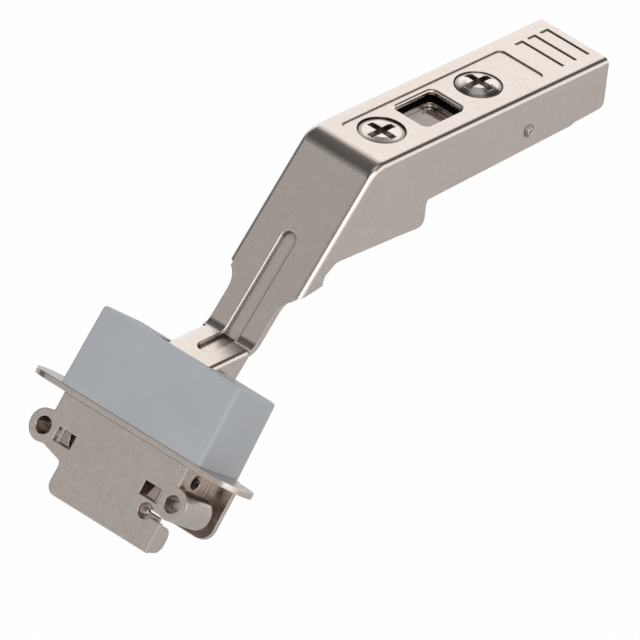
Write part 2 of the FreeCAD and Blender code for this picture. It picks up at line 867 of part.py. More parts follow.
def make_carrier():
    body = new_body("carrier", arm_frame)
    top = carrier_top()
    half = carrier_half()
    low = -S.carrier_height
    end = S.arm_reach - S.carrier_inset
    bevel = S.carrier_bevel
    side = [
        (S.carrier_start, top),
        (S.carrier_start, low + bevel, bevel / 2),
        (S.carrier_start + bevel, low, bevel / 2),
        (end - bevel, low, bevel / 2),
        (end, low + bevel * 1.5, bevel / 2),
        (end, top),
    ]
    pad(body, "YZ_Plane", side, half * 2, both_sides=True)
    outer = half.value
    round_edges(body, S.carrier_sheet, lambda e: straight_along(e, "y")
                and (ends_at(e, "x", outer) or ends_at(e, "x", -outer))
                and ends_at(e, "z", top.value))
    inner = [
        (S.carrier_start - bevel, top - S.carrier_sheet),
        (end + bevel, top - S.carrier_sheet),
        (end + bevel, -S.arm_reach),
        (S.carrier_start - bevel, -S.arm_reach),
    ]
    cut(body, "YZ_Plane", inner, (half - S.carrier_sheet) * 2, both_sides=True)
    # cross slot for the eccentric pin of the depth screw
    slot_half = S.cam_pin + S.thread_gap + S.guide_gap
    cut(body, "XY_Plane", box_points(-S.cam_pin, S.depth_screw_at - slot_half,
                                     S.cam_throw + S.cam_pin + S.thread_gap,
                                     S.depth_screw_at + slot_half, Size.of(1.2)), S.arm_reach)
    cut(body, "XY_Plane", box_points(-S.window_half, S.window_start + 1.0, S.window_half,
                                     S.window_end - 1.0, S.window_round), S.arm_reach)
    cut_disc(body, "YZ_Plane", [(S.hook_pin_at, -S.hook_pin_drop),
                                (LEVER_PIN_AT, -S.lever_pin_drop)],
             S.pin_radius, S.arm_width, both_sides=True)
    return body


def make_cross_pin(name, frame, y, z, half_length, radius=None):
    """A plain pin along X, with its ends chamfered."""
    body = new_body(name, frame)
    pad_disc(body, "YZ_Plane", y, z, radius or S.pin_radius, half_length * 2, both_sides=True)
    doc.recompute()
    plain = body.Tip
    rims = ["Edge%d" % n for n, e in enumerate(plain.Shape.Edges, start=1)
            if e.Curve.TypeId == "Part::GeomCircle"]
    made = body.newObject("PartDesign::Chamfer", name + "_chamfer")
    made.Base = (plain, rims)
    bind(made, "Size", S.pin_chamfer)
    return body


def make_lever():
    body = new_body("clip_lever", arm_frame)
    y, z = LEVER_PIN_AT, -S.lever_pin_drop
    half = carrier_half() - S.carrier_sheet - S.lever_gap
    edge = S.lever_front - S.lever_shelf
    back = y + S.lever_back
    cheek = [
        (y - S.lever_front, z + S.lever_top, edge),
        (y - S.lever_front, z - S.lever_shelf, edge),
        (y - S.lever_nose_half, z - S.lever_nose, edge),
        (y + S.lever_nose_half, z - S.lever_nose, edge),
        (y + S.lever_front, z - S.lever_shelf, edge),
        (back + S.lever_nose_half, z, edge),
        (back + S.lever_nose_half, z + S.lever_rise),
        (back, z + S.lever_rise),
        (back - edge, z + S.lever_top),
    ]
    pad(body, "YZ_Plane", cheek, half * 2, both_sides=True)
    reach = S.lever_reach
    gap = [
        (y - reach, z + reach),
        (y - reach, z - reach),
        (y + reach, z - reach),
        (y + reach, z + reach),
    ]
    cut(body, "YZ_Plane", gap, (half - S.lever_sheet) * 2, both_sides=True)
    # handle behind the carrier, turned down at its end
    lip = y + reach - S.lever_lip
    handle = [
        (back, z + S.lever_rise),
        (back, z + S.lever_rise - S.lever_lip),
        (lip, z + S.lever_rise - S.lever_lip, S.lever_lip / 2),
        (lip, z + edge),
        (y + reach, z + edge),
        (y + reach, z + S.lever_rise, S.lever_lip * 1.25),
    ]
    width = S.arm_width - 2 * S.arm_sheet - 2 * S.guide_gap
    pad(body, "YZ_Plane", handle, width, both_sides=True)
    cut_disc(body, "YZ_Plane", [(y, z)], S.pin_radius + S.pin_fit, S.arm_width, both_sides=True)
    return body


def wire_coil(pitch, turns, radius, wire, left=False):
    """A coil along +X from the origin, as a pipe along a helix."""
    helix = Part.makeHelix(pitch, pitch * turns, radius, 0, left)
    circle_at = FreeCAD.Vector(radius, 0, 0)
    ring = Part.Wire([Part.Circle(circle_at, FreeCAD.Vector(0, 1, pitch / (6.2832 * radius)),
                                  wire).toShape()])
    pipe = Part.Wire(helix.Edges).makePipeShell([ring], True, True)
    pipe.rotate(FreeCAD.Vector(0, 0, 0), FreeCAD.Vector(0, 1, 0), 90)
    return pipe


def leg(start, run, wire):
    """A straight end of a coil, let a little into the coil."""
    back = FreeCAD.Vector(run).normalize() * wire * 0.5
    return Part.makeCylinder(wire, run.Length, start - back, run)


def settle(name, shapes, y, z, frame):
    """Solids made at the origin, moved together to a place in their frame."""
    group = Part.makeCompound(shapes)
    group.translate(FreeCAD.Vector(0, Size.of(y).value, Size.of(z).value))
    piece = doc.addObject("Part::Feature", name)
    piece.Label = name
    piece.Shape = Part.makeCompound([group])
    frame(piece)
    return piece


def make_clip_spring():
    wire = S.spring_wire.value
    radius = S.pin_radius.value + wire + 0.3
    pitch = wire * 2 + 0.15
    half = pitch * S.spring_turns.value / 2
    coil = wire_coil(pitch, S.spring_turns.value, radius, wire)
    coil.translate(FreeCAD.Vector(-half, 0, 0))
    ahead = leg(FreeCAD.Vector(-half, 0, -radius), FreeCAD.Vector(0, -3.0, 0.4), wire)
    behind = leg(FreeCAD.Vector(half, 0, -radius), FreeCAD.Vector(0, 3.4, -1.3), wire)
    return settle("clip_spring", [coil.fuse(ahead).fuse(behind)],
                  LEVER_PIN_AT, -S.lever_pin_drop, arm_frame)


# Links, in the cup's frame

def arm_pin_spot(along, depth):
    """An arm pin's place in the cup's frame: along the pins' plane and up."""
    lean = S.cup_tilt
    into = S.foot_in - along * cosine(lean) + depth * sine(lean)
    up = S.foot_up - along * sine(lean) - depth * cosine(lean)
    return into, up


A_OUTER = arm_pin_spot(S.arm_pin_outer_at, S.arm_pin_outer_depth)
A_INNER = arm_pin_spot(S.arm_pin_inner_at, S.arm_pin_inner_depth)
C_OUTER = (S.cup_pin_outer_in, -S.cup_pin_outer_drop)
C_INNER = (S.cup_pin_inner_in, -S.cup_pin_inner_drop)


def link_outline(first, second, half):
    """Length and direction of a link between two pins, with the corners of its strip."""
    dy = second[0] - first[0]
    dz = second[1] - first[1]
    length = math.hypot(dy.value, dz.value)
    uy, uz = dy / length, dz / length
    def at(pin, along, across):
        return (pin[0] + uy * along - uz * across, pin[1] + uz * along + uy * across)
    return [
        at(first, -half, half) + (half * 0.98,),
        at(first, -half, -half) + (half * 0.98,),
        at(second, half, -half) + (half * 0.98,),
        at(second, half, half) + (half * 0.98,),
    ]


def make_outer_link_plates():
    """Two flat link plates, one each side of the inner link."""
    inner = S.neck_width / 2 - S.arm_sheet - S.link_gap - S.link_sheet
    blank = doc.addObject("PartDesign::Body", "link_blank")
    blank.Label = "link_blank"
    strip = link_outline(C_OUTER, A_OUTER, S.link_half)
    pad(blank, "YZ_Plane", strip, S.link_sheet)
    cut_disc(blank, "YZ_Plane", [C_OUTER, A_OUTER], S.pin_radius + S.pin_fit, S.arm_width,
             both_sides=True)
    doc.recompute()
    plates = []
    for start in (inner, -inner - S.link_sheet):
        plate = blank.Shape.copy()
        plate.translate(FreeCAD.Vector(start.value, 0, 0))
        plates.append(plate)
    return settle("outer_link_plates", plates, ZERO, ZERO, cup_frame)


def make_inner_link():
    body = new_body("inner_link", cup_frame)
    half = S.neck_width / 2 - S.arm_sheet - S.link_gap * 2 - S.link_sheet
    strip = link_outline(C_INNER, A_INNER, S.link_half)
    pad(body, "YZ_Plane", strip, half * 2, both_sides=True)
    pad_disc(body, "YZ_Plane", C_INNER[0], C_INNER[1], S.link_eye, half * 2, both_sides=True)
    cut_disc(body, "YZ_Plane", [A_INNER], S.pin_radius + S.pin_fit, S.arm_width, both_sides=True)
    cut_disc(body, "YZ_Plane", [C_INNER], S.inner_pin_radius + S.open_pivot_gap, S.arm_width,
             both_sides=True)
    return body


def make_closing_springs():
    """Two torsion coils beside the links, on the outer cup pin."""
    wire = S.closing_wire.value
    radius = S.pin_radius.value + wire + 0.15
    pitch = wire * 2 + 0.05
    turns = S.closing_turns.value
    inner = S.neck_width.value / 2 - S.arm_sheet.value - S.link_gap.value
    start_x = inner + wire + 0.15
    shapes = []
    for sign in (1, -1):
        coil = wire_coil(pitch, turns, radius, wire, left=(sign < 0))
        if sign < 0:
            coil.rotate(FreeCAD.Vector(0, 0, 0), FreeCAD.Vector(0, 1, 0), 180)
        coil.translate(FreeCAD.Vector(sign * start_x, 0, 0))
        shapes.append(coil)
    return settle("closing_springs", shapes, C_OUTER[0], C_OUTER[1], cup_frame)


# Cup side, in the cup's frame

def make_cover_block():
    body = new_body("cover_block", cup_frame)
    half = S.block_width / 2
    wall = S.block_wall
    made = pad(body, "XY_Plane", box_points(-half, ZERO, half, S.block_depth), S.block_height)
    made.TaperAngle = -S.block_draft.value
    bind(made, "TaperAngle", -S.block_draft)
    # the top falls a little towards the back
    top = S.block_height
    past = S.block_depth + wall
    slope = S.block_fall / S.block_depth
    cut(body, "YZ_Plane", [(ZERO, top), (past, top - slope * past), (past, top + wall),
                           (ZERO, top + wall)], S.block_width, both_sides=True)
    round_edges(body, S.block_edge,
                lambda e: not ends_at(e, "z", 0.0))
    cut(body, "XY_Plane", box_points(-half + wall * 1.3, wall * 1.2, half - wall * 1.3,
                                     S.block_depth - wall * 1.2, wall / 2),
        top - S.block_fall - wall, reverse=True)
    cut(body, "XY_Plane", box_points(-S.notch_half, S.notch_start, S.notch_half, past),
        top + wall, reverse=True)
    return body


def make_flange():
    body = new_body("flange_plate", cup_frame)
    half = S.flange_length / 2
    end_round = S.flange_depth / 2 * 0.96
    pad(body, "XY_Plane", box_points(-half, ZERO, half, S.flange_depth, end_round),
        S.flange_sheet, reverse=True)
    pad(body, "XY_Plane", box_points(-S.back_half, S.flange_depth * 0.5, S.back_half,
                                     S.block_depth - S.plate_sheet), S.flange_sheet, reverse=True)
    clear = S.shell_half + S.link_gap
    cut(body, "XY_Plane", box_points(-clear, S.plate_sheet + 1.0, clear,
                                     S.block_depth + 2.0), S.flange_sheet * 2)
    return body


def make_front_bracket():
    body = new_body("front_bracket", cup_frame)
    top = -S.flange_sheet
    # sheet in the plane of the block's front face; pad runs towards the back
    face = [
        (-S.plate_half, top),
        (-S.plate_half, -S.plate_drop, Size.of(0.6)),
        (-S.boss_half, -S.plate_drop - 1.2, Size.of(0.8)),
        (-S.boss_half, -S.boss_drop - 2.6, Size.of(0.8)),
        (-S.plate_half + 2.4, -S.boss_drop - 3.4, Size.of(0.8)),
        (-S.tongue_left, -S.tongue_top, Size.of(1.2)),
        (-S.tongue_left - 0.1, -S.tongue_drop, Size.of(2.2)),
        (S.tongue_right, -S.tongue_drop),
        (S.tongue_right, -S.tongue_top),
        (S.slit_end, -S.tongue_top),
        (S.slit_end, -S.tongue_top + S.slit_height),
        (S.boss_half, -S.tongue_top + S.slit_height),
        (S.boss_half, -S.plate_drop - 1.2),
        (S.plate_half, -S.plate_drop, Size.of(0.6)),
        (S.plate_half, top),
    ]
    pad(body, "XZ_Plane", face, S.plate_sheet, reverse=True)
    for side in (-1, 1):
        pad_disc(body, "XZ_Plane", side * S.boss_half, -S.boss_drop, S.boss_radius,
                 S.boss_length, reverse=True)
    cut_disc(body, "XZ_Plane", [(-S.boss_half, -S.boss_drop), (S.boss_half, -S.boss_drop)],
             S.boss_hole, S.boss_length * 2, both_sides=True)
    cut_disc(body, "XZ_Plane", [(S.slit_end, -S.tongue_top + S.slit_height / 2)],
             S.slit_radius, S.plate_sheet * 2, both_sides=True)
    for side in (-1, 1):
        cut(body, "XZ_Plane", box_points(side * S.view_inner, -S.view_bottom,
                                         side * S.view_outer, -S.view_top),
            S.plate_sheet * 2, both_sides=True)
    # flap folded back at the tongue's right edge, with its half-round ear
    low, high = -S.tongue_drop, -S.tongue_top
    middle = (low + high) / 2
    ear = [
        (ZERO, low),
        (S.ear_radius + 1.2, middle - 2.4, Size.of(2.2)),
        (S.ear_radius + 1.2, middle + 2.4, Size.of(2.2)),
        (ZERO, high),
    ]
    pad(body, "YZ_Plane", ear, S.plate_sheet, offset=S.tongue_right - S.plate_sheet)
    return body


def make_rear_bracket():
    body = new_body("rear_bracket", cup_frame)
    top = -S.flange_sheet
    back_in = S.block_depth - S.plate_sheet
    half = S.back_half
    low = -S.back_drop
    plate = [
        (-half, top),
        (-half, low, S.back_round),
        (half, low, S.back_round),
        (half, top),
        (S.shell_half - 1.4, top),
        (S.shell_half - 1.4, -S.cup_pin_outer_drop - 1.0, Size.of(1.0)),
        (-S.shell_half + 1.4, -S.cup_pin_outer_drop - 1.0, Size.of(1.0)),
        (-S.shell_half + 1.4, top),
    ]
    pad(body, "XZ_Plane", plate, S.plate_sheet, offset=-back_in, reverse=True)
    wall = [
        (S.plate_sheet, top),
        (S.plate_sheet, -S.wall_drop, Size.of(1.0)),
        (back_in, -S.wall_drop),
        (back_in, top),
    ]
    for side in (-1, 1):
        at = S.wall_half - S.plate_sheet if side > 0 else -S.wall_half
        pad(body, "YZ_Plane", wall, S.plate_sheet, offset=at)
    cut_disc(body, "YZ_Plane", [C_OUTER], S.wall_hole, S.wall_half * 3, both_sides=True)
    return body


def make_cup_shell():
    body = new_body("cup_shell", cup_frame)
    top = -S.flange_sheet
    side = [
        (S.plate_sheet, top),
        (S.plate_sheet, -S.shell_drop, Size.of(2.0)),
        (S.block_depth - S.plate_sheet, -S.shell_drop, Size.of(2.0)),
        (S.block_depth - S.plate_sheet, top),
    ]
    pad(body, "YZ_Plane", side, S.shell_half * 2, both_sides=True)
    hollow = [
        (S.plate_sheet * 2 + 0.2, top + 1.0),
        (S.plate_sheet * 2 + 0.2, -S.shell_drop + S.shell_sheet),
        (S.block_depth + 1.0, -S.shell_drop + S.shell_sheet),
        (S.block_depth + 1.0, top + 1.0),
    ]
    cut(body, "YZ_Plane", hollow, (S.shell_half - S.shell_sheet) * 2, both_sides=True)
    cut_disc(body, "YZ_Plane", [C_OUTER], S.pin_radius, S.shell_half * 3, both_sides=True)
    cut_disc(body, "YZ_Plane", [C_INNER], S.inner_pin_radius, S.shell_half * 3, both_sides=True)
    return body


# The whole hinge

pieces = [
    make_arm(),
    make_side_screw(),
    make_depth_screw(),
    make_guide(),
    make_rivets(),
    make_carrier(),
    make_cross_pin("hook_pin", arm_frame, S.hook_pin_at, -S.hook_pin_drop, carrier_half()),
    make_lever(),
    make_cross_pin("clip_lever_pin", arm_frame, LEVER_PIN_AT, -S.lever_pin_drop,
                   carrier_half()),
    make_clip_spring(),
    make_cross_pin("arm_pin_outer", cup_frame, A_OUTER[0], A_OUTER[1], S.neck_width / 2),
    make_cross_pin("arm_pin_inner", cup_frame, A_INNER[0], A_INNER[1], S.neck_width / 2),
    make_outer_link_plates(),
    make_inner_link(),
    make_cross_pin("cup_pin_outer", cup_frame, C_OUTER[0], C_OUTER[1], S.shell_half),
    make_cross_pin("cup_pin_inner", cup_frame, C_INNER[0], C_INNER[1], S.shell_half,
                   S.inner_pin_radius),
    make_closing_springs(),
    make_cup_shell(),
    make_flange(),
    make_front_bracket(),
    make_rear_bracket(),
    make_cover_block(),
]

doc.recompute()
for thing in doc.Objects:
    if "Invalid" in thing.State or "Error" in thing.State:
        raise RuntimeError("failed object: " + thing.Name)
for piece in pieces:
    if piece.Shape.isNull() or not piece.Shape.isValid():
        raise RuntimeError("bad shape: " + piece.Label)

os.makedirs("parts", exist_ok=True)
for piece in pieces:
    piece.Shape.exportStep("parts/%s.step" % piece.Label)
    print("%-24s %3d solid  %9.2f mm3" % (piece.Label, len(piece.Shape.Solids),
                                          piece.Shape.Volume))
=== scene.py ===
"""Finishes, small parts, stage and camera for a concealed cup hinge with a cranked arm."""
import json
import math

import bmesh
import bpy
from mathutils import Matrix, Vector


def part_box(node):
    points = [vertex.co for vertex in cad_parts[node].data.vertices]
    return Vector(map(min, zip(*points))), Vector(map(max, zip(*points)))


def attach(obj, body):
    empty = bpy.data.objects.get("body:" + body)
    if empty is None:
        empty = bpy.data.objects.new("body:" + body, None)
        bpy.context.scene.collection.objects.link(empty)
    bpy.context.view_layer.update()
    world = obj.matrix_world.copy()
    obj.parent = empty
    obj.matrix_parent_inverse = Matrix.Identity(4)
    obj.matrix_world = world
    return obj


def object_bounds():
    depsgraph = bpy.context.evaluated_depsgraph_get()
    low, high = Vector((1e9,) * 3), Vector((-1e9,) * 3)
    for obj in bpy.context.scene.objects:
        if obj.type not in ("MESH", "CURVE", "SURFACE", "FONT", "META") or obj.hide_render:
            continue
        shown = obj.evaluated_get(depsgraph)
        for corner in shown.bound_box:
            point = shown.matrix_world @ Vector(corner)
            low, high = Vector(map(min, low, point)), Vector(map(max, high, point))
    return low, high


bl_info = {
    "name": "Concealed cup hinge looks",
    "version": (1, 0, 0),
    "blender": (4, 5, 0),
    "location": "3D View > Sidebar > Hinge",
    "description": "Plated finishes, screw thread, stage and camera for a concealed cup hinge",
    "category": "Object",
}

MM = 0.001
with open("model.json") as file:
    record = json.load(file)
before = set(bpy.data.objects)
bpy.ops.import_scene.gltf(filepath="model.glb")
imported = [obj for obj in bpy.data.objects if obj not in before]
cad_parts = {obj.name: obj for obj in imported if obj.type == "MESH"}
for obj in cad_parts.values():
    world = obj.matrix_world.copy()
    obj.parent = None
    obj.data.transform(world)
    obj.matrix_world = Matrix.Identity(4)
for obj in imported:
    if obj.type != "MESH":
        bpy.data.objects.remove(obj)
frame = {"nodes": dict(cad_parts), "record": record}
CAD_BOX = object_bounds()
NODES = frame["nodes"]

# for each sheet finish: its share of the nickel's tone and of the grain, the strength of the painted
# shade in its creases, the width of its softened edges, and the pieces that have it
SHEET_FINISHES = {
    "arm plating": (1.0, 0.6, 0.6, 0.14 * MM, ("hinge_arm",)),
    "bracket plating": (
        0.985, 1.15, 0.15, 0.32 * MM,
        ("front_bracket", "rear_bracket", "flange_plate", "cup_shell")),
    "carrier plating": (0.92, 1.0, 0.6, 0.2 * MM, ("carrier", "guide_channel", "clip_lever")),
    "link plating": (0.90, 1.2, 0.6, 0.2 * MM, ("outer_link_plates", "inner_link")),
}
SIDE_SCREW = "side_adjusting_screw"
SCREW_PIECES = (SIDE_SCREW, "depth_adjusting_screw")
PIN_PIECES = (
    "hook_pin", "clip_lever_pin", "arm_pin_outer", "arm_pin_inner",
    "cup_pin_outer", "cup_pin_inner",
)
SPRING_PIECES = ("clip_spring", "closing_springs")
COVER_PIECE = "cover_block"
RIVET_PIECE = "pivot_rivets"

# patterns of the finishes: how fine to the metre, how much detail, how rough
SAND = (2600.0, 2.0, 0.65)
MOTTLE = (700.0, 3.0, 0.6)
SHEET_CLOUD = (75.0, 2.0, 0.5)
SHEET_PITS = (1500.0, 1.0, 0.5)
SHEET_STREAK = (1.0, 2.0, 0.5)
SCREW_SPECK = (1800.0, 3.0, 0.6)
SCREW_CLOUD = (260.0, 2.0, 0.5)
WIRE_STREAK = (1.0, 3.0, 0.6)
WIRE_SPOT = (900.0, 3.0, 0.6)
PLASTIC_ERODED = (2600.0, 3.0, 0.6)
PLASTIC_CLOUD = (90.0, 2.0, 0.5)
PAPER_CLOUD = (9.0, 3.0, 0.5)
# streaks are stretched along the arm on sheet, and along the pins on wire
STREAKS_ALONG_ARM = (900.0, 60.0, 900.0)
STREAKS_ALONG_PIN = (250.0, 2200.0, 2200.0)

# how far the softened normal leans where an edge starts, and at its heart
EDGE_LEAN = (0.015, 0.16)
# how near the walls of a crease stand to take painted shade
CREASE_REACH = 1.6 * MM
TURNED_RING_PITCH = 0.18 * MM
# painted shade in the cross recess: how far from the axis it reaches, and between which depths under
# the crown it darkens
RECESS_RADIUS = 3.4 * MM
RECESS_DEPTHS = (0.4 * MM, 1.3 * MM)

# the thread leaves this many pitches of the shank plain, and this many of them at the tip
PLAIN_SHANK = 1.6
PLAIN_TIP = 0.6
THREAD_SUNK = 0.02 * MM
# how much of a rivet rim's half thickness is sunk into the rivet
RIM_SUNK = 0.3
# steps in a turn, and sides of the bar that is swept along it
THREAD_STEPS = 28
THREAD_SIDES = 6
RIM_STEPS = 40
RIM_SIDES = 12

# the leaves in the bracket: depths run inwards from the bracket's screw holes, and the outline,
# in millimetres, runs across and up from the middle between them
LEAF_DEPTHS = (0.3 * MM, 1.3 * MM)
SLOT_LEAF_DEPTHS = (0.5 * MM, 1.1 * MM)
SLOT_LEAF_OUTLINE = (
    (9.8, -2.1), (12.8, -2.1), (12.8, -3.55), (15.9, -3.55), (15.9, -7.6), (9.8, -7.6),
)
LEAF_ROUNDING = 0.12 * MM
LEAF_TINT = (0.400, 0.340, 0.298)
BUTTON_PLACE = (12.1 * MM, -4.0 * MM)
BUTTON_DEPTH = 0.55 * MM
BUTTON_RISE = 0.55 * MM

# the soft lamp, from the point that the camera looks at
LAMP_OFFSET = Vector((0.55, -0.35, 0.55))
LAMP_SIDE = 0.6
SENSOR_WIDTH = 36.0
CLIP_RANGE = (0.01, 100.0)

# the studio that metal sees: how bright its wall and ceiling are, and what each panel adds
WALL = 0.86
CEILING = 0.14
BACK_LEFT_PANEL = 1.22
RIGHT_PANEL = 1.15
FRONT_LEFT_PANEL = 0.9
OVERHEAD_PANEL = 0.75


# Shader and geometry expressions

class Value:
    """A node's socket that Python arithmetic can work on."""

    def __init__(self, graph, socket):
        self.graph = graph
        self.socket = socket

    def _math(self, operation, first, second):
        settings = {"operation": operation}
        return self.graph.node("ShaderNodeMath", settings, {0: first, 1: second})[0]

    def __add__(self, other):
        return self._math("ADD", self, other)

    __radd__ = __add__

    def __sub__(self, other):
        return self._math("SUBTRACT", self, other)

    def __rsub__(self, other):
        return self._math("SUBTRACT", other, self)

    def __mul__(self, other):
        return self._math("MULTIPLY", self, other)

    __rmul__ = __mul__

    def ramp(self, low, high):
        """0 below low and 1 above high, smooth between them."""
        settings = {"interpolation_type": "SMOOTHSTEP"}
        return self.graph.node(
            "ShaderNodeMapRange", settings, {"Value": self, "From Min": low, "From Max": high}
        )["Result"]


class Outputs:
    """The output sockets of a node, by name or number."""

    def __init__(self, graph, node):
        self.graph = graph
        self.made = node

    def __getitem__(self, key):
        return Value(self.graph, self.made.outputs[key])


class Graph:
    """A node tree that is written as expressions."""

    def __init__(self, tree):
        self.tree = tree
        self.tree.nodes.clear()

    def node(self, kind, settings=None, inputs=None):
        made = self.tree.nodes.new(kind)
        for name, value in (settings or {}).items():
            setattr(made, name, value)
        for key, value in (inputs or {}).items():
            if isinstance(value, Value):
                self.tree.links.new(value.socket, made.inputs[key])
            else:
                made.inputs[key].default_value = value
        return Outputs(self, made)

    def noise(self, place, scale, detail, roughness):
        inputs = {"Vector": place, "Scale": scale, "Detail": detail, "Roughness": roughness}
        return self.node("ShaderNodeTexNoise", None, inputs)["Fac"]

    def blend(self, factor, first, second, blend_type="MIX"):
        settings = {"data_type": "RGBA", "blend_type": blend_type}
        return self.node("ShaderNodeMix", settings, {0: factor, 6: first, 7: second})[2]

    def tinted(self, base, level):
        """A colour made lighter or darker by a level about 1."""
        level = self.node("ShaderNodeCombineColor", None, {0: level, 1: level, 2: level})[0]
        return self.blend(1.0, base, level, "MULTIPLY")

    def vector(self, operation, first, second=None):
        """The outputs of one step of vector arithmetic."""
        inputs = {0: first} if second is None else {0: first, 1: second}
        return self.node("ShaderNodeVectorMath", {"operation": operation}, inputs)

    def mixed_shader(self, factor, first, second):
        return self.node("ShaderNodeMixShader", None, {0: factor, 1: first, 2: second})["Shader"]

    def seen(self):
        """1 where a ray comes from the camera, or passes through glass, and 0 elsewhere."""
        ray = self.node("ShaderNodeLightPath")
        return ray["Is Camera Ray"] + ray["Is Transmission Ray"]


def colour(tint, level=1.0):
    """A tint made lighter or darker, held at full brightness."""
    return (*[min(1.0, part * level) for part in tint], 1.0)


# Finishes

def new_finish(name):
    """A new material, its graph, and the place on the piece."""
    material = bpy.data.materials.new(name)
    material.use_nodes = True
    graph = Graph(material.node_tree)
    return material, graph, graph.node("ShaderNodeTexCoord")["Object"]


def close_finish(graph, base, roughness, relief, normal, metallic=1.0, specular=0.5):
    """Ends a material: a shallow relief (strength, distance and height) on a softened normal."""
    strength, distance, height = relief
    bump = graph.node(
        "ShaderNodeBump", None,
        {"Strength": strength, "Distance": distance, "Height": height, "Normal": normal},
    )["Normal"]
    shader = graph.node(
        "ShaderNodeBsdfPrincipled", None,
        {"Base Color": base, "Metallic": metallic, "Roughness": roughness, "Normal": bump,
         "Specular IOR Level": specular},
    )["BSDF"]
    graph.node("ShaderNodeOutputMaterial", None, {"Surface": shader})


def edge_finish(graph, radius):
    """The softened normal at a pressed edge, and how near the surface is to one."""
    soft = graph.node("ShaderNodeBevel", {"samples": 6}, {"Radius": radius})["Normal"]
    flat = graph.node("ShaderNodeNewGeometry")["True Normal"]
    edge = (1.0 - graph.vector("DOT_PRODUCT", soft, flat)["Value"]).ramp(*EDGE_LEAN)
    return soft, edge


def crease_shade(graph, reach):
    """Painted shade in a crease, from ambient occlusion: 0 in the open, 1 in a corner, less in a fine
    groove.
    """
    settings = {"samples": 8, "only_local": True}
    open_to = graph.node("ShaderNodeAmbientOcclusion", settings, {"Distance": reach})["AO"]
    closed = 1.0 - open_to
    corner = closed.ramp(0.12, 0.5)
    groove = closed.ramp(0.62, 0.8)
    return corner * (1.0 - groove * 0.7)


def plating(name, tint, dark_tint, rough, grain, crease_shade_amount, edge_radius):
    """Tumbled nickel plating: a sandy grain, faint clouds, and pressed edges that are polished smoother
    and painted lighter as a highlight.
    """
    material, graph, place = new_finish(name)
    sand = graph.noise(place, *SAND)
    mottle = graph.noise(place, *MOTTLE)
    cloud = graph.noise(place, *SHEET_CLOUD)
    streak = graph.noise(graph.vector("MULTIPLY", place, STREAKS_ALONG_ARM)[0], *SHEET_STREAK)
    pits = graph.noise(place, *SHEET_PITS).ramp(0.70, 0.80)
    soft, edge = edge_finish(graph, edge_radius)
    shade = mottle.ramp(0.25, 0.75) * 0.35 + cloud.ramp(0.3, 0.7) * 0.35 + streak * 0.30
    base = graph.blend(shade, colour(dark_tint), colour(tint))
    base = graph.blend(pits * (0.35 * grain), base, colour(tint, 0.45))
    # painted highlight: the colour is lighter on the edges
    base = graph.blend(edge * 0.55, base, colour(tint, 1.18))
    speck = (sand - 0.5) * (0.9 * grain) + (mottle - 0.5) * (0.45 * grain)
    # painted shade: the colour is darkened in creases by ambient occlusion
    unshaded = 1.0 - crease_shade(graph, CREASE_REACH) * crease_shade_amount
    base = graph.tinted(base, (1.0 + speck) * unshaded)
    roughness = rough + (sand - 0.5) * (0.16 * grain) + (cloud - 0.5) * 0.05 - edge * 0.06
    relief = (0.10 * grain, 0.02 * MM, sand * 0.7 + mottle * 0.3)
    close_finish(graph, base, roughness, relief, soft)
    return material


def turned_metal(name, tint, rough, crown, rim):
    """Bright plated steel turned about an axis under its crown, with painted shade in its recess and
    past its rim.
    """
    material, graph, place = new_finish(name)
    offset = graph.vector("SUBTRACT", place, crown)[0]
    depth = 0.0 - graph.node("ShaderNodeSeparateXYZ", None, {"Vector": offset})["Z"]
    flat = graph.vector("MULTIPLY", offset, (1.0, 1.0, 0.0))[0]
    reach = graph.vector("LENGTH", flat)["Value"]
    turns = reach * (2.0 * math.pi / TURNED_RING_PITCH)
    rings = graph.node("ShaderNodeMath", {"operation": "SINE"}, {0: turns})[0]
    speck = graph.noise(place, *SCREW_SPECK)
    cloud = graph.noise(place, *SCREW_CLOUD)
    soft, edge = edge_finish(graph, radius=0.18 * MM)
    dullness = cloud.ramp(0.35, 0.7) * 0.5 + speck * 0.2
    base = graph.blend(dullness, colour(tint), colour(tint, 0.72))
    # painted highlight: the colour is lighter on the edges
    base = graph.blend(edge * 0.5, base, colour(tint, 1.2))
    # painted shade: the cross recess is darkened by its depth under the crown, and a dark ring is
    # painted from just inside the head's rim outwards
    outside = reach.ramp(RECESS_RADIUS, RECESS_RADIUS + 0.2 * MM)
    recess_shade = depth.ramp(*RECESS_DEPTHS) * (1.0 - outside)
    rim_shade = reach.ramp(rim - 0.75 * MM, rim - 0.45 * MM)
    shadow = 1.0 - (1.0 - recess_shade * 0.8) * (1.0 - rim_shade * 0.72)
    base = graph.blend(shadow, base, colour(tint, 0.28))
    roughness = rough + (speck - 0.5) * 0.10 + rings * 0.02
    close_finish(graph, base, roughness, (0.15, 0.01 * MM, rings * 0.5 + speck * 0.5), soft)
    return material


def drawn_wire(name, tint, rough):
    """Oiled spring wire and ground pins: fine streaks and a few darker spots."""
    material, graph, place = new_finish(name)
    streak = graph.noise(graph.vector("MULTIPLY", place, STREAKS_ALONG_PIN)[0], *WIRE_STREAK)
    spot = graph.noise(place, *WIRE_SPOT)
    soft, edge = edge_finish(graph, radius=0.08 * MM)
    base = graph.blend(spot.ramp(0.45, 0.75) * 0.6, colour(tint), colour(tint, 0.6))
    # painted highlight: the colour is lighter on the edges
    base = graph.blend(edge * 0.4, base, colour(tint, 1.2))
    roughness = rough + (streak - 0.5) * 0.14
    close_finish(graph, base, roughness, (0.12, 0.01 * MM, streak), soft)
    return material


